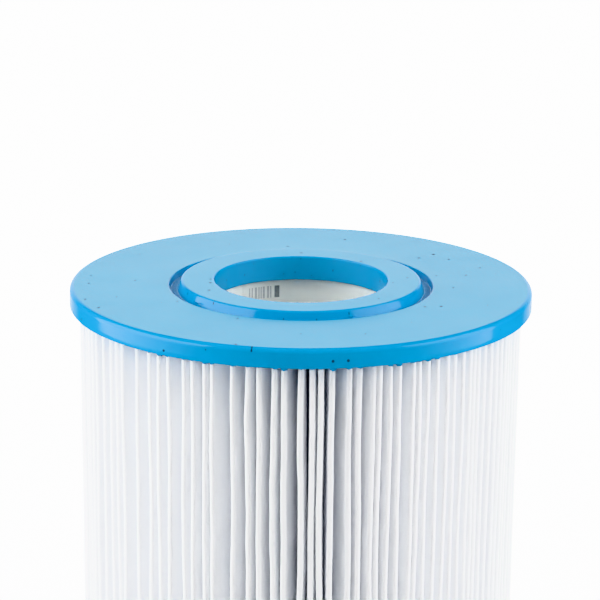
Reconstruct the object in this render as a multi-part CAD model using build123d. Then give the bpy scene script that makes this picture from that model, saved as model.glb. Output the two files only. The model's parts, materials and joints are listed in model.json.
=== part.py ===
from build123d import *
import math
import os
import random

# Pleated filter cartridge, open at both ends, with two cast end caps.
# Millimetres, +Z up. The origin is the centre of the lower sealing face.

# Overall size
CARTRIDGE_LENGTH = 338.1
CAP_RADIUS = 101.6
BORE_RADIUS = 38.1

# End cap section, as heights above or depths below the face of the plate
PLATE_THICKNESS = 8.4
RING_HEIGHT = 2.3
RING_TOP_RADIUS = 52.5
RING_FOOT_RADIUS = 54.2
MOAT_DEPTH = 2.3
MOAT_FLOOR_RADIUS = 57.2
MOAT_MOUTH_RADIUS = 58.1
RESIN_FILM = 0.2
RIM_FILLET = 2.0
RING_FILLET = 1.0
BORE_FILLET = 0.6
MOAT_FILLET = 0.6
EDGE_MATCH = 0.01

# Core tube with staggered rows of round holes
CORE_INNER_RADIUS = 40.75
CORE_OUTER_RADIUS = 44.0
CORE_HOLE_RADIUS = 5.0
CORE_HOLES_PER_ROW = 12
CORE_HOLE_ROWS = 14
CORE_ROW_PITCH = 19.0
CORE_DRILL_LENGTH = 12.0

# Pleated sheet
PLEAT_COUNT = 114
SHEET_THICKNESS = 0.55
PLEAT_TIP_RADIUS = 97.3
PLEAT_ROOT_RADIUS = 44.4
OUTER_FOLD_RADIUS = 1.0
INNER_FOLD_RADIUS = 0.5
SEAM_ANGLE = 90.0
CROWDING = 0.18
CROWDING_PHASE = 0.375
TIP_SHIFT_MEMORY = 0.5
TIP_SHIFT_SPREAD = 1.1
TIP_SHIFT_LIMIT = 2.0
LEAST_TIP_GAP = 1.66
ROOT_SHIFT_LIMIT = 0.15
PLEAT_SEED = 11

# Clip over the two ends of the sheet
CLIP_WALL = 0.6
CLIP_SLOT_WIDTH = 1.4
CLIP_DEPTH = 9.0
SEAM_LAYER_GAP = 0.05

# Strap round the pleat tips
BAND_WIDTH = 12.7
BAND_THICKNESS = 0.6
BAND_CLEARANCE = 0.05

# Sticker on the inside of the core, on the side away from -Y
LABEL_WIDTH = 24.0
LABEL_HEIGHT = 16.0
LABEL_THICKNESS = 0.15
LABEL_ANGLE = 113.0
LABEL_DROP = 9.6

# Levels that follow from the sizes above
PLATE_TOP = CARTRIDGE_LENGTH - RING_HEIGHT
PLEAT_TOP = PLATE_TOP - MOAT_DEPTH - RESIN_FILM
PLEAT_BOTTOM = CARTRIDGE_LENGTH - PLEAT_TOP
PLEAT_LENGTH = PLEAT_TOP - PLEAT_BOTTOM
MID_PLANE = Plane.XY.offset(CARTRIDGE_LENGTH / 2)


def polar(radius, angle):
    """Point in the XY plane at a radius and an angle in radians."""
    return Vector(radius * math.cos(angle), radius * math.sin(angle))


def crowded_angle(turn):
    """Angle in degrees of a fraction of the way round, with pleats crowded on two sides."""
    wave = math.sin(4 * math.pi * (turn - CROWDING_PHASE))
    start = math.sin(-4 * math.pi * CROWDING_PHASE)
    return SEAM_ANGLE + 360 * (turn + CROWDING * (wave - start) / (4 * math.pi))


def pleat_folds():
    """Folds in order round the core, from one end of the sheet to the other.

    Each is (centre, signed radius, angle). The radius is positive at a pleat tip and negative at a root.
    """
    chance = random.Random(PLEAT_SEED)
    tip_circle = PLEAT_TIP_RADIUS - OUTER_FOLD_RADIUS - SHEET_THICKNESS / 2
    root_circle = PLEAT_ROOT_RADIUS + INNER_FOLD_RADIUS + SHEET_THICKNESS / 2
    seam_circle = PLEAT_TIP_RADIUS - CLIP_WALL - SHEET_THICKNESS
    seam_radius = (SHEET_THICKNESS + SEAM_LAYER_GAP) / 2
    seam_angle = math.radians(SEAM_ANGLE)
    folds = [(polar(seam_circle, seam_angle), seam_radius, seam_angle)]
    shift = 0.0
    last_tip = SEAM_ANGLE
    for pleat in range(PLEAT_COUNT):
        if pleat > 0:
            shift = TIP_SHIFT_MEMORY * shift + chance.gauss(0, TIP_SHIFT_SPREAD)
            shift = max(-TIP_SHIFT_LIMIT, min(TIP_SHIFT_LIMIT, shift))
            wanted = crowded_angle(pleat / PLEAT_COUNT) + shift
            room = SEAM_ANGLE + 360 - LEAST_TIP_GAP * (PLEAT_COUNT - pleat)
            last_tip = min(max(wanted, last_tip + LEAST_TIP_GAP), room)
            tip = math.radians(last_tip)
            folds.append((polar(tip_circle, tip), OUTER_FOLD_RADIUS, tip))
        root_shift = chance.uniform(-ROOT_SHIFT_LIMIT, ROOT_SHIFT_LIMIT)
        root = math.radians(crowded_angle((pleat + 0.5) / PLEAT_COUNT) + root_shift)
        folds.append((polar(root_circle, root), -INNER_FOLD_RADIUS, root))
    folds.append((polar(seam_circle, seam_angle), seam_radius, seam_angle))
    return folds


def leg_headings(folds):
    """Heading of the straight leg that leaves each fold, tangent to it and to the next one."""
    headings = []
    for (centre, radius, _), (next_centre, next_radius, _) in zip(folds, folds[1:]):
        reach = next_centre - centre
        bend = math.asin((radius - next_radius) / reach.length)
        headings.append(math.atan2(reach.Y, reach.X) + bend)
    return headings


def sheet_side(folds, headings, offset):
    """Edges of the sheet's section on one side, a distance to the right of its centre line."""

    def tangent_point(fold, heading):
        centre, radius, _ = fold
        return centre + polar(radius + offset, heading - math.pi / 2)

    edges = []
    for index, heading in enumerate(headings):
        leg_start = tangent_point(folds[index], heading)
        leg_end = tangent_point(folds[index + 1], heading)
        if index > 0:
            centre, radius, angle = folds[index]
            fold_start = tangent_point(folds[index], headings[index - 1])
            apex = centre + polar(radius + offset, angle)
            edges.append(Edge.make_three_point_arc(fold_start, apex, leg_start))
        edges.append(Edge.make_line(leg_start, leg_end))
    return edges


def sheet_section():
    """Closed section of the folded sheet, at the level of the XY plane."""
    folds = pleat_folds()
    headings = leg_headings(folds)
    outside = sheet_side(folds, headings, SHEET_THICKNESS / 2)
    inside = sheet_side(folds, headings, -SHEET_THICKNESS / 2)
    start = Edge.make_line(inside[0] @ 0, outside[0] @ 0)
    end = Edge.make_line(outside[-1] @ 1, inside[-1] @ 1)
    return Face(Wire(outside + [end] + inside + [start]))


def clip_section():
    """U-shaped section of the clip, with its closed side at the pleat tips."""
    width = CLIP_SLOT_WIDTH + 2 * CLIP_WALL
    outline = Rectangle(CLIP_DEPTH, width, align=(Align.MAX, Align.CENTER))
    slot = Rectangle(CLIP_DEPTH, CLIP_SLOT_WIDTH, align=(Align.MAX, Align.CENTER))
    section = outline - Pos(-CLIP_WALL, 0) * slot
    return Rot(0, 0, SEAM_ANGLE) * Pos(PLEAT_TIP_RADIUS, 0) * section


def standing(section):
    """A section raised over the height that the pleats stand in."""
    return extrude(Pos(0, 0, PLEAT_BOTTOM) * section, amount=PLEAT_LENGTH, dir=(0, 0, 1))


def tube(inner_radius, outer_radius, bottom, height):
    """Plain tube about the Z axis."""
    section = Circle(outer_radius) - Circle(inner_radius)
    return extrude(Pos(0, 0, bottom) * section, amount=height, dir=(0, 0, 1))


def circle_edges(solid, radius, level):
    """Circular edges about the Z axis at a radius and a level."""

    def matches(edge):
        at_radius = abs(edge.radius - radius) < EDGE_MATCH
        return at_radius and abs(edge.arc_center.Z - level) < EDGE_MATCH

    return [edge for edge in solid.edges().filter_by(GeomType.CIRCLE) if matches(edge)]


def cap_blank():
    """Top end cap as one turned shape, before the pleats and the core are set in it."""
    underside = PLATE_TOP - PLATE_THICKNESS
    moat_floor = PLATE_TOP - MOAT_DEPTH
    outline = Polyline(
        (BORE_RADIUS, 0, underside),
        (BORE_RADIUS, 0, CARTRIDGE_LENGTH),
        (RING_TOP_RADIUS, 0, CARTRIDGE_LENGTH),
        (RING_FOOT_RADIUS, 0, moat_floor),
        (MOAT_FLOOR_RADIUS, 0, moat_floor),
        (MOAT_MOUTH_RADIUS, 0, PLATE_TOP),
        (CAP_RADIUS, 0, PLATE_TOP),
        (CAP_RADIUS, 0, underside),
        close=True,
    )
    cap = revolve(Face(Wire(outline.edges())), Axis.Z)
    rounded = (
        (CAP_RADIUS, PLATE_TOP, RIM_FILLET),
        (RING_TOP_RADIUS, CARTRIDGE_LENGTH, RING_FILLET),
        (BORE_RADIUS, CARTRIDGE_LENGTH, BORE_FILLET),
        (MOAT_MOUTH_RADIUS, PLATE_TOP, MOAT_FILLET),
    )
    for radius, level, size in rounded:
        cap = fillet(circle_edges(cap, radius, level), size)
    return cap


def end_caps(inserts):
    """Top and bottom caps, cast round the ends of everything that is set in them."""
    top = cap_blank()
    for insert in inserts:
        top -= insert
    return top, mirror(top, about=MID_PLANE)


def core_tube():
    """Core with staggered rows of round holes."""
    core = tube(CORE_INNER_RADIUS, CORE_OUTER_RADIUS, PLEAT_BOTTOM, PLEAT_LENGTH)
    step = 360 / CORE_HOLES_PER_ROW
    first_row = (CARTRIDGE_LENGTH - (CORE_HOLE_ROWS - 1) * CORE_ROW_PITCH) / 2
    wall_middle = (CORE_INNER_RADIUS + CORE_OUTER_RADIUS) / 2
    drill = Pos(wall_middle, 0, 0) * Rot(0, 90, 0) * Cylinder(CORE_HOLE_RADIUS, CORE_DRILL_LENGTH)
    for row in range(CORE_HOLE_ROWS):
        level = first_row + row * CORE_ROW_PITCH
        first_angle = step / 4 + step / 2 * (row % 2)
        turns = [first_angle + hole * step for hole in range(CORE_HOLES_PER_ROW)]
        core -= [Pos(0, 0, level) * Rot(0, 0, turn) * drill for turn in turns]
    return core


def pleat_band():
    """Strap round the pleat tips at mid height."""
    inner = PLEAT_TIP_RADIUS + BAND_CLEARANCE
    bottom = (CARTRIDGE_LENGTH - BAND_WIDTH) / 2
    return tube(inner, inner + BAND_THICKNESS, bottom, BAND_WIDTH)


def core_label():
    """Curved sticker on the inner wall of the core."""
    sweep = math.degrees(LABEL_WIDTH / CORE_INNER_RADIUS)
    inner = CORE_INNER_RADIUS - LABEL_THICKNESS
    bottom = PLATE_TOP - LABEL_DROP - LABEL_HEIGHT
    half = math.radians(sweep / 2)
    section = make_face(
        [
            CenterArc((0, 0), CORE_INNER_RADIUS, -sweep / 2, sweep),
            CenterArc((0, 0), inner, -sweep / 2, sweep),
            Line(polar(inner, -half), polar(CORE_INNER_RADIUS, -half)),
            Line(polar(inner, half), polar(CORE_INNER_RADIUS, half)),
        ]
    )
    place = Pos(0, 0, bottom) * Rot(0, 0, LABEL_ANGLE)
    return extrude(place * section, amount=LABEL_HEIGHT, dir=(0, 0, 1))


def build():
    media = standing(sheet_section())
    clip = standing(clip_section())
    core_space = tube(CORE_INNER_RADIUS, CORE_OUTER_RADIUS, PLEAT_BOTTOM, PLEAT_LENGTH)
    top_cap, bottom_cap = end_caps([media, clip, core_space])
    return {
        "top_end_cap": top_cap,
        "bottom_end_cap": bottom_cap,
        "core_tube": core_tube(),
        "pleated_media": media,
        "seam_clip": clip,
        "pleat_band": pleat_band(),
        "core_label": core_label(),
    }


os.makedirs("parts", exist_ok=True)
for node, solid in build().items():
    export_step(solid, f"parts/{node}.step")
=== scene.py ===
import json
import math
import random

import bmesh
import bpy
import numpy as np
from mathutils import Matrix, Vector
from mathutils.kdtree import KDTree


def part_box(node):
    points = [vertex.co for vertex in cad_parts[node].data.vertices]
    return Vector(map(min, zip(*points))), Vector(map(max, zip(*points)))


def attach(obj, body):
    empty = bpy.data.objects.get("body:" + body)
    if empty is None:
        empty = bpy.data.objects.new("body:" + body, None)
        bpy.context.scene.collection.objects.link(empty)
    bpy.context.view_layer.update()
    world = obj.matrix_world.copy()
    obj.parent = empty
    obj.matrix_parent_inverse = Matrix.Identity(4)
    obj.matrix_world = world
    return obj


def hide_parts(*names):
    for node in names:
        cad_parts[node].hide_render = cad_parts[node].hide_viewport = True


# A pleated filter cartridge with two cast end caps, in metres, +Z up, standing on its lower sealing ring.

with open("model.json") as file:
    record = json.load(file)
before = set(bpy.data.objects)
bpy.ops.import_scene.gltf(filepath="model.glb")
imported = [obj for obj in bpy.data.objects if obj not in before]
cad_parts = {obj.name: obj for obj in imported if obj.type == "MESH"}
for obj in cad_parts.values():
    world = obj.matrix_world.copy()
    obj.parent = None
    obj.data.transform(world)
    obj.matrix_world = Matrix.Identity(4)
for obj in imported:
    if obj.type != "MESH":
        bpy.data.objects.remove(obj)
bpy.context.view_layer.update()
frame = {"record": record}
MM = 0.001

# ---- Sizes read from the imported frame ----
mounts = {mount["name"]: mount for mount in frame["record"]["mounts"]}
cap_low, cap_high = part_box("top_end_cap")
core_low, core_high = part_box("core_tube")
media_low, media_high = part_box("pleated_media")
label_low, label_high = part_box("core_label")
band_low, band_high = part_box("pleat_band")
TOTAL_HEIGHT = cap_high.z
CAP_RADIUS = cap_high.y
BORE_RADIUS = mounts["top_bore"]["dims"]["r_mm"] * MM
CORE_OUTER = core_high.y
PLEAT_BOTTOM = media_low.z
PLEAT_TOP = media_high.z
UNDERSIDE = cap_low.z

# ---- Sizes of the end cap's section, as in the CAD ----
RING_HEIGHT = 2.3 * MM
PLATE_TOP = TOTAL_HEIGHT - RING_HEIGHT
RING_TOP_RADIUS = 52.5 * MM
RING_FOOT_RADIUS = 54.2 * MM
MOAT_DEPTH = 2.3 * MM
MOAT_FLOOR_RADIUS = 57.2 * MM
MOAT_MOUTH_RADIUS = 58.1 * MM
CORE_INNER = 40.75 * MM

# ---- The pleated sheet, as in the CAD ----
PLEAT_COUNT = 114
SHEET_THICKNESS = 0.55 * MM
PLEAT_TIP_RADIUS = 97.3 * MM
PLEAT_ROOT_RADIUS = 44.4 * MM
OUTER_FOLD_RADIUS = 1.0 * MM
INNER_FOLD_RADIUS = 0.5 * MM
SEAM_ANGLE = 90.0
CROWDING = 0.18
CROWDING_PHASE = 0.375
TIP_SHIFT_MEMORY = 0.5
TIP_SHIFT_SPREAD = 1.1
TIP_SHIFT_LIMIT = 2.0
LEAST_TIP_GAP = 1.66
ROOT_SHIFT_LIMIT = 0.15
PLEAT_SEED = 11
CLIP_WALL = 0.6 * MM
CLIP_SLOT_WIDTH = 1.4 * MM
CLIP_DEPTH = 9.0 * MM
SEAM_LAYER_GAP = 0.05 * MM

# ---- How the sheet departs from straight pleats ----
WAIST = 1.2 * MM
WANDER_WAVES = ((0.42 * MM, 0.19), (0.2 * MM, 0.085), (0.09 * MM, 0.034))
WANDER_SIZES = (0.4, 1.3)
WANDER_LENGTHS = (0.75, 1.3)
WANDER_SETTLE = 0.03
TIP_DEPTH_SPREAD = 0.25 * MM
TIP_DEPTH_AT_CAP = 0.3
LEG_BOW = 0.15 * MM
LEG_SWING = 2.4 * MM
LEG_ESS = 2.0 * MM
SWING_MIDDLE = 5.0
SWING_TURN = 7.0
SWING_SETTLE = 18
CAP_HOLD = 0.6
WANDER_SEED = 23


# ================= Mesh helpers =================


def linked(name, data):
    """Object for a mesh, light or camera, put in the scene."""
    thing = bpy.data.objects.new(name, data)
    bpy.context.scene.collection.objects.link(thing)
    return thing


def new_mesh(name, points, quads, materials, quad_materials=None, smooth=True):
    """Mesh object from arrays of points and of quads (a triangle repeats its last corner)."""
    points = np.asarray(points, float).reshape(-1, 3)
    faces = [tuple(dict.fromkeys(int(i) for i in quad)) for quad in quads]
    mesh = bpy.data.meshes.new(name)
    mesh.from_pydata([tuple(p) for p in points], [], faces)
    for material in materials:
        mesh.materials.append(material)
    if quad_materials is not None:
        mesh.polygons.foreach_set("material_index", np.asarray(quad_materials, np.int32))
    mesh.polygons.foreach_set("use_smooth", [smooth] * len(faces))
    mesh.validate()
    mesh.update()
    return linked(name, mesh)


def grid_quads(rows, columns, wrap_rows=False, wrap_columns=False, start=0):
    """Quads of a grid of rows x columns points, stored row by row."""
    row = np.arange(rows if wrap_rows else rows - 1)
    column = np.arange(columns if wrap_columns else columns - 1)
    r, c = np.meshgrid(row, column, indexing="ij")
    r2, c2 = (r + 1) % rows, (c + 1) % columns
    corners = (r * columns + c, r * columns + c2, r2 * columns + c2, r2 * columns + c)
    return np.stack([corner.ravel() for corner in corners], axis=1) + start


def ride_root(piece, slot, *nodes):
    """Fixes a piece to the one body and hides the CAD nodes that it stands for. The finish handed in as slot
    is not used.
    """
    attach(piece, "root")
    if nodes:
        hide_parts(*nodes)


# ================= The sheet's section =================


def crowded_angle(turn):
    """Angle in degrees of a fraction of the way round, with pleats crowded on two sides."""
    wave = math.sin(4 * math.pi * (turn - CROWDING_PHASE))
    start = math.sin(-4 * math.pi * CROWDING_PHASE)
    return SEAM_ANGLE + 360 * (turn + CROWDING * (wave - start) / (4 * math.pi))


def straight_pleats():
    """Angles in degrees of the pleat tips and of the roots between them."""
    chance = random.Random(PLEAT_SEED)
    tips, roots = [], []
    shift = 0.0
    for pleat in range(PLEAT_COUNT):
        if pleat > 0:
            shift = TIP_SHIFT_MEMORY * shift + chance.gauss(0, TIP_SHIFT_SPREAD)
            shift = max(-TIP_SHIFT_LIMIT, min(TIP_SHIFT_LIMIT, shift))
            tips.append(crowded_angle(pleat / PLEAT_COUNT) + shift)
        root_shift = chance.uniform(-ROOT_SHIFT_LIMIT, ROOT_SHIFT_LIMIT)
        roots.append(crowded_angle((pleat + 0.5) / PLEAT_COUNT) + root_shift)
    return spread_tips(tips), np.array(roots)


def spread_tips(wanted):
    """The wanted tip angles, pushed apart where two tips would touch."""
    placed = []
    last = SEAM_ANGLE
    for pleat, angle in enumerate(wanted, start=1):
        room = SEAM_ANGLE + 360 - LEAST_TIP_GAP * (PLEAT_COUNT - pleat)
        last = min(max(angle, last + LEAST_TIP_GAP), room)
        placed.append(last)
    return np.array(placed)


def wander_table():
    """Waves of each pleat tip along the height: amplitude, wave number and phase."""
    chance = np.random.default_rng(WANDER_SEED)
    count = PLEAT_COUNT - 1
    waves = []
    for size, length in WANDER_WAVES:
        amplitude = size * chance.uniform(*WANDER_SIZES, count)
        number = 2 * math.pi / (length * chance.uniform(*WANDER_LENGTHS, count))
        phase = chance.uniform(0, 2 * math.pi, count)
        waves.append((amplitude, number, phase))
    depth = chance.uniform(0, TIP_DEPTH_SPREAD, count)
    bow = chance.normal(0, LEG_BOW, (2, PLEAT_COUNT + 1))
    return waves, depth, bow


TIPS, ROOTS = straight_pleats()
WAVES, TIP_DEPTH, BOW = wander_table()


def waist_at(level):
    """How far the pleat tips are drawn in at a level by the strap at mid height."""
    share = (level - PLEAT_BOTTOM) / (PLEAT_TOP - PLEAT_BOTTOM)
    return WAIST * math.sin(math.pi * min(max(share, 0), 1)) ** 1.5


def free_share(level):
    """0 where a cap holds the pleats, 1 where they are free."""
    reach = min(level - (TOTAL_HEIGHT - UNDERSIDE), UNDERSIDE - level) / WANDER_SETTLE
    reach = min(max(reach, 0), 1)
    return reach * reach * (3 - 2 * reach)


def folds_at(level):
    """Centres and signed radii of the folds in order at a level."""
    free = free_share(level)
    sideways = sum(a * np.sin(k * level + p) for a, k, p in WAVES) * free
    tips = spread_tips(TIPS + np.degrees(sideways / PLEAT_TIP_RADIUS))
    tip_circle = PLEAT_TIP_RADIUS - OUTER_FOLD_RADIUS - SHEET_THICKNESS / 2
    tip_circle = tip_circle - waist_at(level) - TIP_DEPTH * (TIP_DEPTH_AT_CAP + (1 - TIP_DEPTH_AT_CAP) * free)
    root_circle = PLEAT_ROOT_RADIUS + INNER_FOLD_RADIUS + SHEET_THICKNESS / 2
    seam_circle = PLEAT_TIP_RADIUS - CLIP_WALL - SHEET_THICKNESS - waist_at(level)
    seam_radius = (SHEET_THICKNESS + SEAM_LAYER_GAP) / 2
    count = 2 * PLEAT_COUNT + 1
    angle, circle, radius = np.zeros(count), np.zeros(count), np.zeros(count)
    angle[0], angle[-1] = SEAM_ANGLE, SEAM_ANGLE
    circle[0], circle[-1] = seam_circle, seam_circle
    radius[0], radius[-1] = seam_radius, seam_radius
    angle[1::2], circle[1::2], radius[1::2] = ROOTS, root_circle, -INNER_FOLD_RADIUS
    angle[2:-1:2], circle[2:-1:2], radius[2:-1:2] = tips, tip_circle, OUTER_FOLD_RADIUS
    return circle * np.exp(1j * np.radians(angle)), radius


def swing_of(leg):
    """Sizes of a leg's sideways bulge and of its S. The bulge changes side near the front."""
    from_front = crowded_angle(leg / 2 / PLEAT_COUNT) - SEAM_ANGLE - 180
    side = max(-1.0, min(1.0, (from_front - SWING_MIDDLE) / SWING_TURN))
    legs_from_seam = min(leg, 2 * PLEAT_COUNT - 1 - leg)
    settled = min(1.0, legs_from_seam / SWING_SETTLE)
    inwards = leg % 2 == 0
    bulge = LEG_SWING * side * settled * (-1 if inwards else 1)
    return bulge + BOW[leg % 2][leg // 2], LEG_ESS * (1 - abs(side))


def headings_of(centres, radii):
    """Heading of the leg that leaves each fold, tangent to it and to the next one."""
    reach = centres[1:] - centres[:-1]
    return np.angle(reach) + np.arcsin((radii[:-1] - radii[1:]) / np.abs(reach))


def right_of(heading):
    """Unit direction to the right of a heading, which is the sheet's outside."""
    return np.exp(1j * (heading - math.pi / 2))


def sheet_line(level, offset, tip_steps, root_steps, leg_shares):
    """Points of the sheet at a level, a distance outside its centre line, as complex numbers."""
    centres, radii = folds_at(level)
    headings = headings_of(centres, radii)
    held = CAP_HOLD + (1 - CAP_HOLD) * free_share(level)
    points = [centres[0] + (radii[0] + offset) * right_of(headings[0])]
    for index in range(len(headings)):
        heading = headings[index]
        start = centres[index] + (radii[index] + offset) * right_of(heading)
        end = centres[index + 1] + (radii[index + 1] + offset) * right_of(heading)
        bulge, ess = swing_of(index)
        for share in leg_shares:
            swing = bulge * math.sin(math.pi * share) + ess * math.sin(2 * math.pi * share)
            points.append(start + (end - start) * share + held * swing * right_of(heading))
        if index + 1 < len(headings):
            turn = headings[index + 1] - heading
            tip = radii[index + 1] > 0
            turn = turn % (2 * math.pi) if tip else -((-turn) % (2 * math.pi))
            steps = tip_steps if tip else root_steps
            for step in range(steps + 1):
                direction = right_of(heading + turn * step / steps)
                points.append(centres[index + 1] + (radii[index + 1] + offset) * direction)
        else:
            points.append(end)
    return np.array(points)


def at_level(line, level):
    """Points in space of a line of complex numbers."""
    return np.stack([line.real, line.imag, np.full(len(line), level)], axis=1)


# ================= Materials =================


class Nodes:
    """Builds a procedural material. A value handed to a method is a number, a colour or a node's socket."""

    def __init__(self, name):
        self.material = bpy.data.materials.new(name)
        self.material.use_nodes = True
        self.tree = self.material.node_tree
        self.shader = self.tree.nodes["Principled BSDF"]
        self.place = self.add("ShaderNodeTexCoord").outputs["Object"]

    def add(self, kind, **inputs):
        node = self.tree.nodes.new(kind)
        for key, value in inputs.items():
            self.put(node.inputs[key.replace("_", " ")], value)
        return node

    def put(self, socket, value):
        if isinstance(value, bpy.types.NodeSocket):
            self.tree.links.new(value, socket)
        else:
            socket.default_value = value

    def set(self, **inputs):
        for key, value in inputs.items():
            self.put(self.shader.inputs[key.replace("_", " ")], value)

    def math(self, operation, first, second=0.0):
        node = self.tree.nodes.new("ShaderNodeMath")
        node.operation = operation
        self.put(node.inputs[0], first)
        self.put(node.inputs[1], second)
        return node.outputs[0]

    def stretched(self, x, y, z):
        node = self.tree.nodes.new("ShaderNodeMapping")
        self.put(node.inputs["Vector"], self.place)
        node.inputs["Scale"].default_value = (x, y, z)
        return node.outputs[0]

    def around(self, angle_scale, radius_scale, height_scale):
        """Coordinates that run round the axis, outwards and up."""
        axes = self.add("ShaderNodeSeparateXYZ", Vector=self.place)
        angle = self.math("ARCTAN2", axes.outputs[1], axes.outputs[0])
        squares = [self.math("POWER", axes.outputs[axis], 2) for axis in (0, 1)]
        radius = self.math("SQRT", self.math("ADD", *squares))
        joined = self.add("ShaderNodeCombineXYZ")
        self.put(joined.inputs[0], self.math("MULTIPLY", angle, angle_scale))
        self.put(joined.inputs[1], self.math("MULTIPLY", radius, radius_scale))
        self.put(joined.inputs[2], self.math("MULTIPLY", axes.outputs[2], height_scale))
        return joined.outputs[0]

    def unrolled(self):
        """Flat coordinates over a turned surface: round the axis, and radius plus height."""
        turned = self.add("ShaderNodeSeparateXYZ", Vector=self.around(CAP_RADIUS, 1.0, 1.0))
        joined = self.add("ShaderNodeCombineXYZ")
        self.put(joined.inputs[0], turned.outputs[0])
        self.put(joined.inputs[1], self.math("ADD", turned.outputs[1], turned.outputs[2]))
        return joined.outputs[0]

    def noise(self, scale, detail=3.0, roughness=0.55, vector=None):
        node = self.tree.nodes.new("ShaderNodeTexNoise")
        self.put(node.inputs["Vector"], vector or self.place)
        node.inputs["Scale"].default_value = scale
        node.inputs["Detail"].default_value = detail
        node.inputs["Roughness"].default_value = roughness
        return node.outputs["Fac"]

    def ramp(self, value, *stops):
        """Colour ramp. Each stop is (position, colour or grey)."""
        node = self.tree.nodes.new("ShaderNodeValToRGB")
        self.put(node.inputs[0], value)
        while len(node.color_ramp.elements) < len(stops):
            node.color_ramp.elements.new(0.5)
        for element, (position, colour) in zip(node.color_ramp.elements, stops):
            element.position = position
            grey = isinstance(colour, (int, float))
            element.color = (colour, colour, colour, 1) if grey else (*colour, 1)
        return node.outputs[0]

    def mix(self, factor, first, second):
        node = self.tree.nodes.new("ShaderNodeMix")
        node.data_type = "RGBA"
        for socket, value in ((node.inputs[0], factor), (node.inputs[6], first), (node.inputs[7], second)):
            self.put(socket, (*value, 1) if isinstance(value, tuple) and len(value) == 3 else value)
        return node.outputs[2]

    def bump(self, height, distance, normal=None):
        node = self.add("ShaderNodeBump", Height=height, Distance=distance)
        if normal is not None:
            self.put(node.inputs["Normal"], normal)
        return node.outputs[0]


WALL_BLUES = ((0.0, 0.27, 0.555), (0.0, 0.285, 0.575))
FACE_BLUES = ((0.0, 0.285, 0.50), (0.0, 0.30, 0.52))
# Dark blue painted into the pinholes: painted shade inside the pits
PINHOLE_SHADE = (0.005, 0.05, 0.10)
PINHOLE_CELLS = 150.0
PINHOLE_SIZE = 0.08
PINHOLE_DEPTH = 0.15 * MM
PINHOLE_ROUGHNESS = (0.95, 0.95, 0.95)
FILM_DEEP = (0.03, 0.20, 0.42)
FILM_PALE = (0.15, 0.36, 0.60)
FILM_FIBRES = (0.26, 0.44, 0.62)
FILM_THICK = (0.0, 0.11, 0.27)


def pinholes(nodes, surface, cells_per_metre, share, size):
    """1 in scattered dots on flat coordinates and 0 elsewhere. A share of the cells has a dot."""
    cells = nodes.tree.nodes.new("ShaderNodeTexVoronoi")
    cells.voronoi_dimensions = "2D"
    nodes.put(cells.inputs["Vector"], surface)
    cells.inputs["Scale"].default_value = cells_per_metre
    picked = nodes.add("ShaderNodeSeparateColor", Color=cells.outputs["Color"])
    chosen = nodes.math("LESS_THAN", picked.outputs[0], share)
    reach = nodes.math("ADD", nodes.math("MULTIPLY", picked.outputs[1], size), size / 3)
    near = nodes.math("LESS_THAN", cells.outputs["Distance"], reach)
    return nodes.math("MULTIPLY", chosen, near)


def resin(name, colours, roughness, holes_share, texture, on_wall):
    """Cast blue polyurethane: slightly cloudy, with a soft skin and pinholes where bubbles broke; the
    pinholes are painted dark blue as painted shade inside the pits.
    """
    nodes = Nodes(name)
    cloud = nodes.noise(28.0, 4.0, 0.6)
    streak = nodes.noise(1.0, 3.0, 0.6, nodes.stretched(18, 60, 200))
    blend = nodes.math("ADD", nodes.math("MULTIPLY", cloud, 0.7), nodes.math("MULTIPLY", streak, 0.3))
    colour = nodes.mix(nodes.ramp(blend, (0.35, 0.0), (0.65, 1.0)), *colours)
    surface = nodes.unrolled() if on_wall else nodes.place
    holes = pinholes(nodes, surface, PINHOLE_CELLS, holes_share, PINHOLE_SIZE)
    # Pinholes painted dark: painted shade inside the pits, on top of their real roughness and depth
    colour = nodes.mix(holes, colour, PINHOLE_SHADE)
    rough = nodes.ramp(nodes.noise(60.0, 5.0, 0.65), (0.3, roughness[0]), (0.7, roughness[1]))
    rough = nodes.mix(holes, rough, PINHOLE_ROUGHNESS)
    skin = nodes.bump(nodes.noise(900.0, 3.0), texture)
    pitted = nodes.bump(nodes.math("SUBTRACT", 1.0, holes), PINHOLE_DEPTH, skin)
    nodes.set(Base_Color=colour, Roughness=rough, Normal=pitted, IOR=1.5)
    return nodes.material


def moat_floor_material():
    """Flattened pleat ends under a thin film of resin, with a few blue dots where the film is thick."""
    nodes = Nodes("resin_over_pleat_ends")
    turned = nodes.around(60.0, 300.0, 0.0)
    streaks = nodes.noise(1.6, 5.0, 0.7, turned)
    fibres = nodes.noise(900.0, 4.0, 0.7)
    pale = nodes.mix(nodes.ramp(streaks, (0.3, 0.0), (0.7, 1.0)), FILM_DEEP, FILM_PALE)
    pale = nodes.mix(nodes.ramp(fibres, (0.35, 0.0), (0.75, 0.4)), pale, FILM_FIBRES)
    dots = pinholes(nodes, nodes.place, cells_per_metre=300.0, share=0.35, size=0.3)
    colour = nodes.mix(dots, pale, FILM_THICK)
    relief = nodes.bump(streaks, 0.25 * MM)
    relief = nodes.bump(fibres, 0.08 * MM, relief)
    nodes.set(Base_Color=colour, Roughness=nodes.ramp(streaks, (0.3, 0.5), (0.7, 0.8)), Normal=relief)
    return nodes.material


SHEET_GLOW_DEPTH = 1.5 * MM


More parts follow.
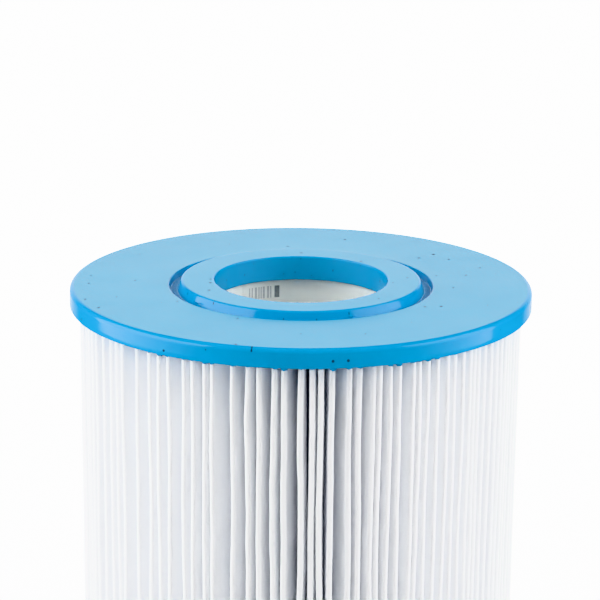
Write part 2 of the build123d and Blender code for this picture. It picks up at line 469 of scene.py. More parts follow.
def media_material():
    """Spunbonded polyester: white, matt, lets light through, with tangled fibres and soft bond marks."""
    nodes = Nodes("spunbonded_polyester")
    fibres = nodes.noise(2600.0, 4.0, 0.75)
    tangle = nodes.noise(700.0, 5.0, 0.7, nodes.stretched(1, 1, 0.45))
    cloud = nodes.noise(90.0, 4.0, 0.6)
    shade = nodes.math("ADD", nodes.math("MULTIPLY", tangle, 0.5), nodes.math("MULTIPLY", cloud, 0.5))
    colour = nodes.ramp(shade, (0.3, (0.915, 0.925, 0.945)), (0.7, (0.955, 0.965, 0.98)))
    relief = nodes.bump(tangle, 0.10 * MM)
    relief = nodes.bump(fibres, 0.04 * MM, relief)
    nodes.set(Base_Color=colour, Roughness=nodes.ramp(tangle, (0.3, 0.75), (0.7, 0.95)), Normal=relief)
    nodes.set(Subsurface_Weight=0.5, Subsurface_Radius=(1.0, 1.0, 1.0), Subsurface_Scale=SHEET_GLOW_DEPTH)
    return nodes.material


def core_material():
    """White moulded plastic with faint flow clouds and scuffs."""
    nodes = Nodes("core_plastic")
    cloud = nodes.noise(35.0, 4.0, 0.6)
    colour = nodes.ramp(cloud, (0.3, (0.91, 0.92, 0.88)), (0.7, (0.94, 0.95, 0.91)))
    rough = nodes.ramp(nodes.noise(120.0, 4.0), (0.3, 0.32), (0.7, 0.5))
    relief = nodes.bump(nodes.noise(420.0, 3.0), 0.03 * MM)
    nodes.set(Base_Color=colour, Roughness=rough, Normal=relief)
    return nodes.material


def plain_material(name, low, high, roughness, scale, relief):
    """Pale moulded or coated surface with a fine grain."""
    nodes = Nodes(name)
    grain = nodes.noise(scale, 4.0, 0.6)
    colour = nodes.ramp(grain, (0.3, low), (0.7, high))
    rough = nodes.ramp(grain, (0.3, roughness * 0.85), (0.7, roughness * 1.15))
    nodes.set(Base_Color=colour, Roughness=rough, Normal=nodes.bump(grain, relief))
    return nodes.material


def band_material():
    """Heat-set polyester tape with a fine lengthwise weave."""
    nodes = Nodes("band_tape")
    turned = nodes.around(97.0, 1000.0, 1000.0)
    weave = nodes.tree.nodes.new("ShaderNodeTexWave")
    nodes.put(weave.inputs["Vector"], turned)
    weave.bands_direction = "Z"
    weave.inputs["Scale"].default_value = 0.35
    weave.inputs["Distortion"].default_value = 0.6
    fuzz = nodes.noise(1500.0, 3.0)
    threads = weave.outputs["Fac"]
    shade = nodes.math("ADD", nodes.math("MULTIPLY", threads, 0.5), nodes.math("MULTIPLY", fuzz, 0.5))
    colour = nodes.ramp(shade, (0.2, (0.74, 0.75, 0.77)), (0.8, (0.88, 0.88, 0.89)))
    relief = nodes.bump(threads, 0.12 * MM)
    relief = nodes.bump(fuzz, 0.05 * MM, relief)
    nodes.set(Base_Color=colour, Roughness=nodes.ramp(fuzz, (0.3, 0.6), (0.7, 0.85)), Normal=relief)
    return nodes.material


# ================= End caps =================

CAP_TURNS = 1032
CAP_SEED = 5

# ---- Roundings of the cap's edges, and the narrow strip beside them that keeps their shading tight ----
BORE_EDGE = 0.6 * MM
BORE_FOOT = 0.35 * MM
RING_EDGE = 1.0 * MM
RING_FOOT = 0.35 * MM
MOAT_FOOT = 0.3 * MM
MOAT_EDGE = 0.6 * MM
RIM_EDGE = 2.0 * MM
RIM_FOOT = 0.3 * MM
STRIP = 0.4 * MM

# ---- Rows of points across the plate and the underside ----
PLATE_RADII = (59.0, 62.0, 70.0, 78.0, 86.0, 93.0, 97.5)
DRIP_RADII = np.arange(100.9, 93.0, -0.45)
UNDERSIDE_RADII = (92.0, 90.0, 86.0, 78.0, 66.0, 54.0, 46.0)

# ---- Resin that crept down the pleats, pleat ends that show in the moat, and the plate's unevenness ----
DRIP_LENGTH = 2.0 * MM
DRIP_VARIATION = 0.5
DRIP_WAVES = 60
DRIP_REACH = 0.6 * MM
PLEAT_END_RISE = 0.16 * MM
PLEAT_END_REACH = 0.25 * MM
RIPPLE = 0.05 * MM
RIPPLE_WAVES = 9
PLATE_SAG = 0.06 * MM
RIPPLE_SETTLE = 20 * MM
SEARCH_STEP = 0.12 * MM


def rounded_line(corners, steps):
    """Points of a line through corners (radius, height, rounding), with arcs at rounded corners."""
    line = []
    for index, (r, z, rounding) in enumerate(corners):
        here = complex(r, z)
        if rounding == 0 or index in (0, len(corners) - 1):
            line.append(here)
            continue
        before = complex(*corners[index - 1][:2]) - here
        after = complex(*corners[index + 1][:2]) - here
        before, after = before / abs(before), after / abs(after)
        half = abs(np.angle(after / before)) / 2
        middle = (before + after) / abs(before + after)
        centre = here + middle * rounding / math.sin(half)
        first = here + before * rounding / math.tan(half)
        last = here + after * rounding / math.tan(half)
        start, sweep = np.angle(first - centre), np.angle((last - centre) / (first - centre))
        turns = [start + sweep * step / steps for step in range(steps + 1)]
        line += [centre + rounding * np.exp(1j * turn) for turn in turns]
    return line


def between(first, last, count):
    """Points strictly between two points of a section."""
    return [first + (last - first) * step / (count + 1) for step in range(1, count + 1)]


def row_at(height, radii):
    """Points of a section at one height, for radii in millimetres."""
    return [complex(radius * MM, height) for radius in radii]


GLOSS, PLATE, FLOOR = 0, 1, 2


def cap_section():
    """Closed section of the top cap as (point, material of the strip after it), from the bore's foot up."""
    moat_floor = PLATE_TOP - MOAT_DEPTH
    rows = []

    def put(points, material):
        rows.extend((point, material) for point in points)

    bore = rounded_line(
        [
            (BORE_RADIUS, UNDERSIDE + BORE_FOOT, 0),
            (BORE_RADIUS, TOTAL_HEIGHT, BORE_EDGE),
            (BORE_RADIUS + 3 * MM, TOTAL_HEIGHT, 0),
        ],
        steps=4,
    )
    put([complex(BORE_RADIUS, UNDERSIDE), bore[0], bore[0] + 3j * MM, bore[1] - 0.3j * MM], GLOSS)
    put(bore[1:-1], GLOSS)
    put(row_at(TOTAL_HEIGHT, (BORE_RADIUS / MM + 1.0, 46.0)), PLATE)
    ring = rounded_line(
        [
            (50 * MM, TOTAL_HEIGHT, 0),
            (RING_TOP_RADIUS, TOTAL_HEIGHT, RING_EDGE),
            (RING_FOOT_RADIUS, moat_floor, RING_FOOT),
            (MOAT_FLOOR_RADIUS, moat_floor, 0),
        ],
        steps=5,
    )
    put([ring[1] - STRIP], PLATE)
    put(ring[1:7], GLOSS)
    put(between(ring[6], ring[7], 3), GLOSS)
    put(ring[7:12], GLOSS)
    floor_start = ring[12]
    put([floor_start], FLOOR)
    put(between(floor_start, complex(MOAT_FLOOR_RADIUS - MOAT_FOOT, moat_floor), 7), FLOOR)
    moat = rounded_line(
        [
            (56 * MM, moat_floor, 0),
            (MOAT_FLOOR_RADIUS, moat_floor, MOAT_FOOT),
            (MOAT_MOUTH_RADIUS, PLATE_TOP, MOAT_EDGE),
            (60 * MM, PLATE_TOP, 0),
        ],
        steps=4,
    )
    put(moat[1:6], GLOSS)
    put(between(moat[5], moat[6], 1), GLOSS)
    put(moat[6:10], GLOSS)
    put([moat[10]], PLATE)
    put(row_at(PLATE_TOP, PLATE_RADII), PLATE)
    rim = rounded_line(
        [
            (95 * MM, PLATE_TOP, 0),
            (CAP_RADIUS, PLATE_TOP, RIM_EDGE),
            (CAP_RADIUS, UNDERSIDE, RIM_FOOT),
            (95 * MM, UNDERSIDE, 0),
        ],
        steps=6,
    )
    put([rim[1] - STRIP], PLATE)
    put(rim[1:8], GLOSS)
    put([rim[7] - STRIP * 1j], GLOSS)
    put(between(rim[7] - STRIP * 1j, rim[8], 2), GLOSS)
    put(rim[8:14], GLOSS)
    put(row_at(UNDERSIDE, (*DRIP_RADII, *UNDERSIDE_RADII, CORE_INNER / MM)), GLOSS)
    return rows


def sheet_tree(level, lowest_radius, highest_radius):
    """Search tree of points on the sheet's centre line between two radii."""
    line = sheet_line(level, 0.0, tip_steps=8, root_steps=4, leg_shares=())
    points = []
    for first, last in zip(line[:-1], line[1:]):
        count = max(1, int(abs(last - first) / SEARCH_STEP))
        points.append(first + (last - first) * np.arange(count) / count)
    points = np.concatenate(points)
    points = points[(np.abs(points) > lowest_radius) & (np.abs(points) < highest_radius)]
    tree = KDTree(len(points))
    for index, point in enumerate(points):
        tree.insert((point.real, point.imag, 0), index)
    tree.balance()
    return tree


def gaps_to_sheet(tree, radius, angles):
    """How far each place on a circle is from the sheet's faces."""
    places = [(radius * math.cos(angle), radius * math.sin(angle), 0) for angle in angles]
    return np.array([max(0.0, tree.find(place)[2] - SHEET_THICKNESS / 2) for place in places])


def cap_points():
    """Points and material rows of the top cap, with its small departures from a turned shape."""
    rows = cap_section()
    section = np.array([point for point, _ in rows])
    materials = np.array([material for _, material in rows])
    angles = np.arange(CAP_TURNS) * 2 * math.pi / CAP_TURNS
    radius = np.repeat(section.real[:, None], CAP_TURNS, axis=1)
    height = np.repeat(section.imag[:, None], CAP_TURNS, axis=1)
    chance = np.random.default_rng(CAP_SEED)

    under = (section.imag < UNDERSIDE + 1e-6) & (section.real > 90 * MM) & (section.real < 101.2 * MM)
    tree = sheet_tree(UNDERSIDE, 84 * MM, 101 * MM)
    drips = DRIP_LENGTH * (1 + DRIP_VARIATION * smooth_noise(angles, DRIP_WAVES, chance))
    for row in np.nonzero(under)[0]:
        height[row] -= drips * np.exp(-gaps_to_sheet(tree, section.real[row], angles) / DRIP_REACH)

    floor = materials == FLOOR
    tree = sheet_tree(PLEAT_TOP, 53 * MM, 59 * MM)
    for row in np.nonzero(floor)[0][1:]:
        gaps = gaps_to_sheet(tree, section.real[row], angles)
        height[row] += PLEAT_END_RISE * np.exp(-gaps / PLEAT_END_REACH)

    plate = (materials == PLATE) & (section.real > 60 * MM)
    ripple = RIPPLE * smooth_noise(angles, RIPPLE_WAVES, chance)
    for row in np.nonzero(plate)[0]:
        share = min(1.0, (CAP_RADIUS - section.real[row]) / RIPPLE_SETTLE)
        height[row] += (ripple - PLATE_SAG) * share
    points = np.stack([radius * np.cos(angles), radius * np.sin(angles), height], axis=2)
    return points, materials


def smooth_noise(angles, waves, chance):
    """Smooth closed noise round the axis, from about -1 to 1."""
    total = np.zeros(len(angles))
    for wave in range(1, waves + 1):
        total += chance.normal() * np.cos(wave * angles + chance.uniform(0, 2 * math.pi))
    return total / max(1e-9, np.abs(total).max())


def end_caps():
    """The top casting, and the bottom one as the same casting turned over."""
    gloss = resin("resin_gloss", WALL_BLUES, (0.09, 0.13), holes_share=0.12, texture=0.004 * MM, on_wall=True)
    plate = resin("resin_plate", FACE_BLUES, (0.22, 0.27), holes_share=0.07, texture=0.01 * MM, on_wall=False)
    materials = [gloss, plate, moat_floor_material()]
    points, row_materials = cap_points()
    rows, columns, _ = points.shape
    quads = grid_quads(rows, columns, wrap_rows=True, wrap_columns=True)
    quad_materials = np.repeat(row_materials, columns)
    top = new_mesh("top_cap_casting", points, quads[:, ::-1], materials, quad_materials)
    flipped = points.copy()
    flipped[:, :, 2] = TOTAL_HEIGHT - flipped[:, :, 2]
    flipped[:, :, 1] = -flipped[:, :, 1]
    bottom = new_mesh("bottom_cap_casting", flipped, quads[:, ::-1], materials, quad_materials)
    ride_root(top, "cap_resin", "top_end_cap")
    ride_root(bottom, "cap_resin", "bottom_end_cap")
    resin_flash(gloss)


# Crumbs of flash: degrees from the front (negative to the left), radius, depth below the ring's face
FLASH_CRUMBS = ((-59.0, 38.4 * MM, 0.45 * MM), (-54.5, 55.0 * MM, 2.5 * MM), (24.0, 54.9 * MM, 2.6 * MM))
CRUMB_LUMPS = 4
CRUMB_SPREAD = 0.9 * MM
CRUMB_RADIUS = 0.38 * MM
CRUMB_LIFT = 0.02 * MM
CRUMB_SEED = 9


def resin_flash(material):
    """Small torn crumbs of resin left on the bore's edge and at the ring's foot."""
    chance = random.Random(CRUMB_SEED)
    shape = bmesh.new()
    for degrees, radius, depth in FLASH_CRUMBS:
        for lump in range(CRUMB_LUMPS):
            turn = math.radians(degrees - 90) + (lump - CRUMB_LUMPS / 2) * CRUMB_SPREAD / radius
            size = CRUMB_RADIUS * chance.uniform(0.6, 1.1)
            place = Vector((radius * math.cos(turn), radius * math.sin(turn), TOTAL_HEIGHT - depth))
            made = bmesh.ops.create_icosphere(shape, subdivisions=3, radius=size)
            for vert in made["verts"]:
                vert.co *= chance.uniform(0.9, 1.08)
                vert.co = place + vert.co + Vector((0, 0, chance.uniform(-CRUMB_LIFT, CRUMB_LIFT)))
    mesh = bpy.data.meshes.new("resin_flash")
    shape.to_mesh(mesh)
    shape.free()
    mesh.materials.append(material)
    mesh.polygons.foreach_set("use_smooth", [True] * len(mesh.polygons))
    ride_root(linked("resin_flash", mesh), "cap_resin")


# ================= Pleated media =================

TIP_STEPS = 5
ROOT_STEPS = 2
LEG_SHARES = (0.2, 0.5, 0.8)
MEDIA_LEVELS = 27
LEVEL_LAP = 1 * MM


def media_levels():
    """Levels of the sheet's rows: its two edges, and even steps from just inside one cap to the other."""
    lowest = TOTAL_HEIGHT - UNDERSIDE - LEVEL_LAP
    inner = np.linspace(lowest, UNDERSIDE + LEVEL_LAP, MEDIA_LEVELS - 2)
    return [PLEAT_BOTTOM, *inner, PLEAT_TOP]


def pleated_media():
    """The folded sheet as one closed mesh: outside face, inside face, and its four edges."""
    half = SHEET_THICKNESS / 2
    outside, inside = [], []
    for level in media_levels():
        for side, offset in ((outside, half), (inside, -half)):
            line = sheet_line(level, offset, TIP_STEPS, ROOT_STEPS, LEG_SHARES)
            side.append(at_level(line, level))
    outside, inside = np.array(outside), np.array(inside)
    ring = np.concatenate([outside, inside[:, ::-1]], axis=1)
    levels, columns, _ = ring.shape
    quads = grid_quads(levels, columns, wrap_columns=True)
    across = columns // 2
    low = np.arange(across - 1)
    high = low + (levels - 1) * columns
    bottom = np.stack([low, columns - 1 - low, columns - 2 - low, low + 1], axis=1)
    last = (levels - 1) * columns + columns - 1
    top = np.stack([high, high + 1, last - 1 - low, last - low], axis=1)
    piece = new_mesh("pleated_sheet", ring, np.concatenate([quads, bottom, top]), [media_material()])
    ride_root(piece, "media_fabric", "pleated_media")
    flat = (developed_length(), PLEAT_TOP - PLEAT_BOTTOM)


def developed_length():
    """Length of the sheet's centre line between its two ends, with its legs taken as straight."""
    line = sheet_line(UNDERSIDE, 0.0, tip_steps=12, root_steps=6, leg_shares=())
    return float(np.abs(np.diff(line)).sum())


# ================= Core tube =================

HOLE_RADIUS = 5.0 * MM
HOLES_PER_ROW = 12
HOLE_ROWS = 14
ROW_PITCH = 19.0 * MM
HOLE_SIDES = 32
HOLE_EDGE = 0.4 * MM
TUBE_EDGE = 0.5 * MM
SLEEVE_SIDES = 384
WELD_DISTANCE = 0.01 * MM
FINE_WELD = 0.001 * MM


def core_tube():
    """Tube with rounded holes, laid out as a sheet of square cells and wrapped round the axis."""
    step = 2 * math.pi / HOLES_PER_ROW
    first_row = (TOTAL_HEIGHT - (HOLE_ROWS - 1) * ROW_PITCH) / 2
    around = 2 * math.pi * np.arange(HOLE_SIDES) / HOLE_SIDES
    square = np.exp(1j * around) / np.maximum(np.abs(np.cos(around)), np.abs(np.sin(around)))
    wall = CORE_OUTER - CORE_INNER
    mean_radius = (CORE_OUTER + CORE_INNER) / 2
    cell_half = complex(step * mean_radius / 2, ROW_PITCH / 2)
    rings = []
    for inset, rounding in ((0.0, 1.0), (0.4, 0.4), (1.0, 0.0)):
        rings.append((wall - inset * HOLE_EDGE, HOLE_RADIUS + HOLE_EDGE * rounding))
    for inset, rounding in ((1.0, 0.0), (0.4, 0.4), (0.0, 1.0)):
        rings.append((inset * HOLE_EDGE, HOLE_RADIUS + HOLE_EDGE * rounding))
    points, quads = [], []

    def wrapped(flat, radius, middle_angle, level):
        angle = middle_angle + flat.real / mean_radius
        return np.stack([radius * np.cos(angle), radius * np.sin(angle), level + flat.imag], axis=1)

    for row in range(HOLE_ROWS):
        level = first_row + row * ROW_PITCH
        first_angle = step / 4 + step / 2 * (row % 2)
        for hole in range(HOLES_PER_ROW):
            angle = first_angle + hole * step
            start = sum(len(p) for p in points)
            border = square.real * cell_half.real + 1j * square.imag * cell_half.imag
            loops = [wrapped(border, CORE_OUTER, angle, level)]
            for height, radius in rings:
                loops.append(wrapped(radius * np.exp(1j * around), CORE_INNER + height, angle, level))
            loops.append(wrapped(border, CORE_INNER, angle, level))
            points += loops
            quads.append(grid_quads(len(loops), HOLE_SIDES, wrap_columns=True, start=start))
    for sleeve in end_sleeves(first_row):
        start = sum(len(p) for p in points)
        loops, columns, _ = sleeve.shape
        points.append(sleeve.reshape(-1, 3))
        quads.append(grid_quads(loops, columns, wrap_columns=True, start=start))
    piece = new_mesh("core_wall", np.concatenate(points), np.concatenate(quads), [core_material()])
    weld(piece, WELD_DISTANCE)
    ride_root(piece, "core_plastic", "core_tube")


def end_sleeves(first_row):
    """Plain stretches of tube below the first row of holes and above the last."""
    angles = np.arange(SLEEVE_SIDES) * 2 * math.pi / SLEEVE_SIDES
    last = first_row + (HOLE_ROWS - 0.5) * ROW_PITCH
    sleeves = []
    for inner_end, outer_end, sign in ((last, core_high.z, 1), (first_row - ROW_PITCH / 2, core_low.z, -1)):
        edge = TUBE_EDGE * sign
        loops = (
            (CORE_OUTER, inner_end),
            (CORE_OUTER, (inner_end + outer_end) / 2),
            (CORE_OUTER, outer_end - edge),
            (CORE_OUTER - TUBE_EDGE, outer_end),
            (CORE_INNER + TUBE_EDGE, outer_end),
            (CORE_INNER, outer_end - edge),
            (CORE_INNER, (inner_end + outer_end) / 2),
            (CORE_INNER, inner_end),
        )
        sleeve = [at_level(radius * np.exp(1j * angles), level) for radius, level in loops]
        sleeves.append(np.array(sleeve if sign > 0 else sleeve[::-1]))
    return sleeves


def weld(piece, distance):
    """Joins points that lie on each other and makes the faces look outwards."""
    shape = bmesh.new()
    shape.from_mesh(piece.data)
    bmesh.ops.remove_doubles(shape, verts=shape.verts, dist=distance)
    bmesh.ops.recalc_face_normals(shape, faces=shape.faces)
    shape.to_mesh(piece.data)
    shape.free()


# ================= Label, strap and clip =================

LABEL_ANGLE = 113.0
LABEL_WIDTH = 24.0 * MM
LABEL_THICKNESS = 0.15 * MM
LABEL_LIFT = 0.01 * MM
LABEL_MARGIN = 1 * MM
# Where the print starts and ends across the label and below its top edge, and the widths of its bars
PRINT_LEFT = -8.6 * MM
PRINT_RIGHT = 3.9 * MM
PRINT_TOP = 2.0 * MM
PRINT_FOOT = 7.5 * MM
BAR_WIDTHS = (0.6, 1.0, 1.5)
BAR_GAPS = (0.5, 0.8, 1.1)
WIDE_BAR = (0.3 * MM, 2.6 * MM)
BAR_SEED = 4
PAPER, INK, PALE_INK = 0, 1, 2


def printed_bars():
    """Edges across the label between its stretches of paper and ink, and the print of each stretch."""
    chance = random.Random(BAR_SEED)
    edges = [-LABEL_WIDTH / 2, -LABEL_WIDTH / 2 + LABEL_MARGIN, PRINT_LEFT]
    inks = [PAPER, PAPER]
    while edges[-1] < PRINT_RIGHT - max(BAR_WIDTHS) * MM:
        for kind, widths in ((PALE_INK, BAR_WIDTHS), (PAPER, BAR_GAPS)):
            edges.append(edges[-1] + chance.choice(widths) * MM)
            inks.append(kind)
    edges += [PRINT_RIGHT + WIDE_BAR[0], PRINT_RIGHT + WIDE_BAR[1]]
    edges += [LABEL_WIDTH / 2 - LABEL_MARGIN, LABEL_WIDTH / 2]
    inks += [PAPER, INK, PAPER, PAPER]
    return edges, inks


def core_label():
    """Curved sticker with a row of printed bars and gaps near its top edge."""
    paper = plain_material("label_paper", (0.90, 0.91, 0.87), (0.93, 0.94, 0.90), 0.45, 500.0, 0.01 * MM)
    ink = plain_material("label_ink", (0.22, 0.24, 0.25), (0.28, 0.30, 0.31), 0.4, 700.0, 0.01 * MM)
    pale_ink = plain_material("label_pale_ink", (0.50, 0.51, 0.51), (0.60, 0.61, 0.61), 0.4, 700.0, 0.01 * MM)
    edges, inks = printed_bars()
    heights = [label_low.z, label_high.z - PRINT_FOOT, label_high.z - PRINT_TOP, label_high.z]
    angles = math.radians(LABEL_ANGLE) - np.array(edges) / CORE_INNER
    loops = []
    for radius in (CORE_INNER - LABEL_THICKNESS, CORE_INNER - LABEL_LIFT):
        for level in heights:
            loops.append(at_level(radius * np.exp(1j * angles), level))
    points = np.concatenate(loops)
    columns, rows = len(angles), len(heights)
    front = grid_quads(rows, columns)
    back = grid_quads(rows, columns, start=rows * columns)[:, ::-1]
    border = [row * columns + column for row, column in label_border(rows, columns)]
    behind = rows * columns
    sides = [(a, a + behind, b + behind, b) for a, b in zip(border, border[1:] + border[:1])]
    blank_row = [PAPER] * (columns - 1)
    kinds = blank_row + inks + blank_row + [PAPER] * (len(back) + len(sides))
    quads = np.concatenate([front, back, np.array(sides)])
    piece = new_mesh("core_sticker", points, quads, [paper, ink, pale_ink], kinds, smooth=False)
    weld(piece, FINE_WELD)
    ride_root(piece, "label_paper", "core_label")


def label_border(rows, columns):
    """Grid places round the edge of a grid, in order."""
    border = [(0, column) for column in range(columns)]
    border += [(row, columns - 1) for row in range(1, rows)]
    border += [(rows - 1, column) for column in range(columns - 2, -1, -1)]
    border += [(row, 0) for row in range(rows - 2, 0, -1)]
    return border


STRAP_THICKNESS = 0.6 * MM
STRAP_GAP = 0.02 * MM
SEAM_INSET = 0.7 * MM
STRAP_TURN_STEPS = 3
STRAP_EDGE_STEPS = 5


def pleat_band():
    """Tape drawn tight round the pleat tips, straight between them, with rounded edges."""
    middle = (band_low.z + band_high.z) / 2
    half_width = (band_high.z - band_low.z) / 2
    centres, _ = folds_at(middle)
    seam = centres[0] * (1 - SEAM_INSET / abs(centres[0]))
    tips = np.concatenate([centres[2:-1:2], [seam]])
    radius = OUTER_FOLD_RADIUS + SHEET_THICKNESS / 2 + STRAP_GAP
    reach = np.roll(tips, -1) - tips
    headings = np.angle(reach)
    before = np.roll(headings, 1)
    path, outward = [], []
    for index, tip in enumerate(tips):
        turn = np.angle(np.exp(1j * (headings[index] - before[index])))
        for step in range(STRAP_TURN_STEPS + 1):
            direction = right_of(before[index] + turn * step / STRAP_TURN_STEPS)
            path.append(tip + radius * direction)
            outward.append(direction)
        middle_direction = right_of(headings[index])
        path.append(tip + reach[index] / 2 + radius * middle_direction)
        outward.append(middle_direction)
    path, outward = np.array(path), np.array(outward)
    section = rounded_strap(half_width, STRAP_THICKNESS)
    loops = [at_level(path + outward * out, middle + up) for out, up in section]
    quads = grid_quads(len(loops), len(path), wrap_rows=True, wrap_columns=True)
    piece = new_mesh("pleat_strap", np.array(loops), quads, [band_material()])
    weld(piece, FINE_WELD)
    ride_root(piece, "band_fabric", "pleat_band")


def rounded_strap(half_width, thickness):
    """Section of the strap as (outward, upward) pairs, in order round it."""
    edge = thickness / 2
    section = [(0.0, -half_width + edge), (0.0, 0.0), (0.0, half_width - edge)]
    for step in range(1, STRAP_EDGE_STEPS):
        turn = math.pi * step / STRAP_EDGE_STEPS
        section.append((edge - edge * math.cos(turn), half_width - edge + edge * math.sin(turn)))
    section += [(thickness, half_width - edge), (thickness, 0.0), (thickness, -half_width + edge)]
    for step in range(1, STRAP_EDGE_STEPS):
        turn = math.pi * step / STRAP_EDGE_STEPS
        section.append((edge + edge * math.cos(turn), -half_width + edge - edge * math.sin(turn)))
    return section


CLIP_CROWN = 0.9 * MM
CLIP_LIP = 0.2 * MM
CLIP_CORNER = 0.3 * MM
CLIP_LEVELS = 40


def seam_clip():
    """Folded plastic channel over the two ends of the sheet, following the waist of the pleats."""
    half = CLIP_SLOT_WIDTH / 2 + CLIP_WALL
    slot = CLIP_SLOT_WIDTH / 2
    outline = rounded_line(
        [
            (-CLIP_DEPTH, -slot, 0),
            (-CLIP_DEPTH, -half, CLIP_LIP),
            (0, -half, CLIP_CROWN),
            (0, half, CLIP_CROWN),
            (-CLIP_DEPTH, half, CLIP_LIP),
            (-CLIP_DEPTH, slot, CLIP_LIP),
            (-CLIP_WALL, slot, CLIP_CORNER),
            (-CLIP_WALL, -slot, CLIP_CORNER),
            (-CLIP_DEPTH, -slot, 0),
        ],
        steps=4,
    )[:-1]
    levels = np.linspace(PLEAT_BOTTOM, PLEAT_TOP, CLIP_LEVELS)
    loops = []
    for level in levels:
        outer = PLEAT_TIP_RADIUS - waist_at(level)
        loops.append([(-point.imag, outer + point.real, level) for point in outline])
    points = np.array(loops)
    columns = len(outline)
    quads = grid_quads(len(levels), columns, wrap_columns=True)
    pale, paler = (0.70, 0.71, 0.70), (0.78, 0.78, 0.77)
    material = plain_material("clip_plastic", pale, paler, roughness=0.4, scale=300.0, relief=0.02 * MM)
    piece = new_mesh("seam_channel", points, quads, [material])
    close_ends(piece, columns, len(levels))
    ride_root(piece, "clip_plastic", "seam_clip")


def close_ends(piece, columns, levels):
    """Fills the two open ends of a tube of loops."""
    shape = bmesh.new()
    shape.from_mesh(piece.data)
    shape.verts.ensure_lookup_table()
    shape.faces.new([shape.verts[i] for i in range(columns)])
    shape.faces.new([shape.verts[(levels - 1) * columns + i] for i in range(columns)])
    bmesh.ops.recalc_face_normals(shape, faces=shape.faces)
    bmesh.ops.triangulate(shape, faces=[f for f in shape.faces if len(f.verts) > 4])
    shape.to_mesh(piece.data)
    shape.free()


# ================= Stage, light and camera =================

CAMERA_ELEVATION = 15.35
CAMERA_DISTANCE = 1.42
CAMERA_LENS = 193.7
CAMERA_ROLL = 0.6
# How far the camera looks below and left of the middle of the plate's top, in degrees
CAMERA_TILT = 0.287
CAMERA_PAN = 0.014
SENSOR = 36.0


def camera():
    """Long-lens camera above the rim, aimed a little below the plate's middle."""
    data = bpy.data.cameras.new("camera")
    data.lens = CAMERA_LENS
    data.sensor_width = SENSOR
    data.clip_end = 100
    eye = linked("camera", data)
    lift = math.radians(CAMERA_ELEVATION)
    sight = Vector((0, math.cos(lift), -math.sin(lift)))
    plate = Vector((0, 0, PLATE_TOP))
    eye.location = plate - sight * CAMERA_DISTANCE
    aim = sight.to_track_quat("-Z", "Y").to_matrix()
    for angle, axis in ((-CAMERA_TILT, "X"), (CAMERA_PAN, "Y"), (CAMERA_ROLL, "Z")):
        aim = aim @ Matrix.Rotation(math.radians(angle), 3, axis)
    eye.rotation_euler = aim.to_euler()
    bpy.context.scene.camera = eye


def area_light(name, azimuth, distance, size, height, power, middle):
    """Large soft light aimed at a place. Azimuth 0 is the camera's side, 90 its right."""
    data = bpy.data.lights.new(name, "AREA")
    data.shape = "RECTANGLE"
    data.size, data.size_y = size
    data.energy = power
    light = linked(name, data)
    turn = math.radians(azimuth)
    light.location = (distance * math.sin(turn), -distance * math.cos(turn), height)
    aim = Vector(middle) - light.location
    light.rotation_euler = aim.to_track_quat("-Z", "Y").to_euler()
    light.visible_camera = False
    return light


FADE_ALONG = 1.3
FADE_UP = 1.5


def softbox(name, azimuth, distance, size, height, power, middle, dimmed):
    """Side light that fades towards its lower corner on the camera's side."""
    light = area_light(name, azimuth, distance, size, height, power, middle)
    data = light.data
    data.use_nodes = True
    tree = data.node_tree
    place = tree.nodes.new("ShaderNodeNewGeometry").outputs["Parametric"]
    axes = tree.nodes.new("ShaderNodeSeparateXYZ")
    tree.links.new(place, axes.inputs[0])
    along, up = (tree.nodes.new("ShaderNodeMath") for _ in range(2))
    along.operation = up.operation = "MULTIPLY_ADD"
    rises = azimuth > 0
    along.inputs[1].default_value = FADE_ALONG if rises else -FADE_ALONG
    along.inputs[2].default_value = (0.0 if rises else FADE_ALONG) - dimmed
    up.inputs[1].default_value = FADE_UP
    up.use_clamp = True
    tree.links.new(axes.outputs[0], along.inputs[0])
    tree.links.new(axes.outputs[1], up.inputs[0])
    tree.links.new(along.outputs[0], up.inputs[2])
    tree.links.new(up.outputs[0], tree.nodes["Emission"].inputs["Strength"])


def fill_light(name, azimuth, distance, size, height, power, middle):
    """Soft light that brightens the part without showing in its reflections."""
    light = area_light(name, azimuth, distance, size, height, power, middle)
    light.visible_glossy = False
    return light


SWEEP_START = 0.76
SWEEP_FULL = 0.96


def surroundings(front, back):
    """Dim room with a bright sweep behind the cartridge, seen in its reflections."""
    world = bpy.data.worlds.new("studio")
    world.use_nodes = True
    bpy.context.scene.world = world
    tree = world.node_tree
    place = tree.nodes.new("ShaderNodeTexCoord")
    axes = tree.nodes.new("ShaderNodeSeparateXYZ")
    ramp = tree.nodes.new("ShaderNodeValToRGB")
    for stop, position, grey in zip(ramp.color_ramp.elements, (SWEEP_START, SWEEP_FULL), (front, back)):
        stop.position = position
        stop.color = (grey, grey, grey, 1)
    tree.links.new(place.outputs["Generated"], axes.inputs[0])
    tree.links.new(axes.outputs[1], ramp.inputs[0])
    tree.links.new(ramp.outputs[0], tree.nodes["Background"].inputs[0])


FLOOR_SIZE = 14.0


def floor_sheet():
    """Pale paper floor. It is left out of reflections, which show the surroundings instead."""
    grey, paler = (0.86, 0.86, 0.86), (0.88, 0.88, 0.88)
    paper = plain_material("floor_paper", grey, paler, roughness=0.8, scale=6.0, relief=0.05 * MM)
    half = FLOOR_SIZE / 2
    corners = [(-half, -half, 0), (half, -half, 0), (half, half, 0), (-half, half, 0)]
    floor = new_mesh("floor", corners, [(0, 1, 2, 3)], [paper], smooth=False)
    floor.visible_glossy = False


BACKDROP_START = 0.9
BACKDROP_FLAT_END = 3.0
BACKDROP_BEND = 1.2
BACKDROP_HEIGHT = 6.0
BACKDROP_LIFT = 1 * MM
BACKDROP_GLOW = 6.0
BEND_STEPS = 12
BACKDROP_SIDES = 96


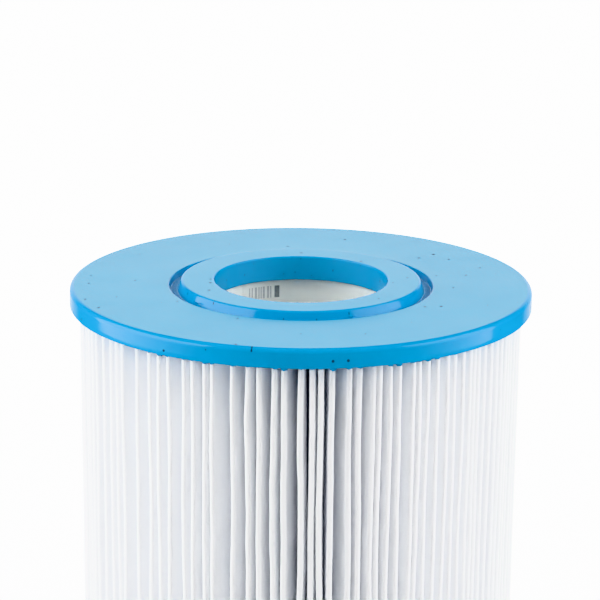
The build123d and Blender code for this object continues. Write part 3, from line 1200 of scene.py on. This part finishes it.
def backdrop():
    """White sweep over the outer floor and up round it, which lights nothing and isn't reflected."""
    profile = [(BACKDROP_START, BACKDROP_LIFT)]
    for step in range(BEND_STEPS + 1):
        turn = math.pi / 2 * step / BEND_STEPS
        out = BACKDROP_FLAT_END + BACKDROP_BEND * math.sin(turn)
        profile.append((out, BACKDROP_BEND * (1 - math.cos(turn)) + BACKDROP_LIFT))
    profile.append((BACKDROP_FLAT_END + BACKDROP_BEND, BACKDROP_HEIGHT))
    angles = np.arange(BACKDROP_SIDES) * 2 * math.pi / BACKDROP_SIDES
    loops = [at_level(radius * np.exp(1j * angles), height) for radius, height in profile]
    material = bpy.data.materials.new("backdrop_white")
    material.use_nodes = True
    shader = material.node_tree.nodes["Principled BSDF"]
    shader.inputs["Base Color"].default_value = (0, 0, 0, 1)
    shader.inputs["Emission Color"].default_value = (1, 1, 1, 1)
    shader.inputs["Emission Strength"].default_value = BACKDROP_GLOW
    quads = grid_quads(len(loops), BACKDROP_SIDES, wrap_columns=True)
    wall = new_mesh("backdrop", np.array(loops), quads, [material])
    wall.visible_glossy = False
    wall.visible_diffuse = False
    wall.visible_shadow = False


def studio():
    """Two side lights, fills from the camera's side and above, and a light for the floor behind."""
    surroundings(0.04, 1.5)
    floor_sheet()
    backdrop()
    level = 0.62
    aim = (0, 0, level)
    softbox("left_softbox", -78.7, 0.95, (1.315, 1.2), level, 17.0, aim, 0.05)
    softbox("right_softbox", 77.0, 0.95, (0.99, 1.2), level, 9.5, aim, 0.15)
    fill_light("front_fill", 0, 1.9, (1.6, 1.0), 1.15, 4.0, (0, 0, 0.25))
    fill_light("top_fill", 0, 0.5, (1.2, 0.8), 1.9, 17.0, (0, 0, 0.3))
    fill_light("left_fill", -85, 1.6, (0.8, 0.8), 0.9, 8.5, (0, 0, 0.3))
    fill_light("right_fill", 85, 1.6, (0.8, 0.8), 0.9, 14.5, (0, 0, 0.3))
    floor_light = fill_light("floor_light", 180, 2.2, (5.0, 3.6), 0.25, 350.0, (0, 2.2, 0))
    floor_light.data.spread = math.radians(150)


end_caps()
pleated_media()
core_tube()
core_label()
pleat_band()
seam_clip()
studio()
camera()
bpy.context.scene.view_settings.view_transform = "Khronos PBR Neutral"
# White pleats are lit deep down by light that bounces between them many times
bpy.context.scene.cycles.diffuse_bounces = 16
bpy.context.scene.cycles.max_bounces = 18
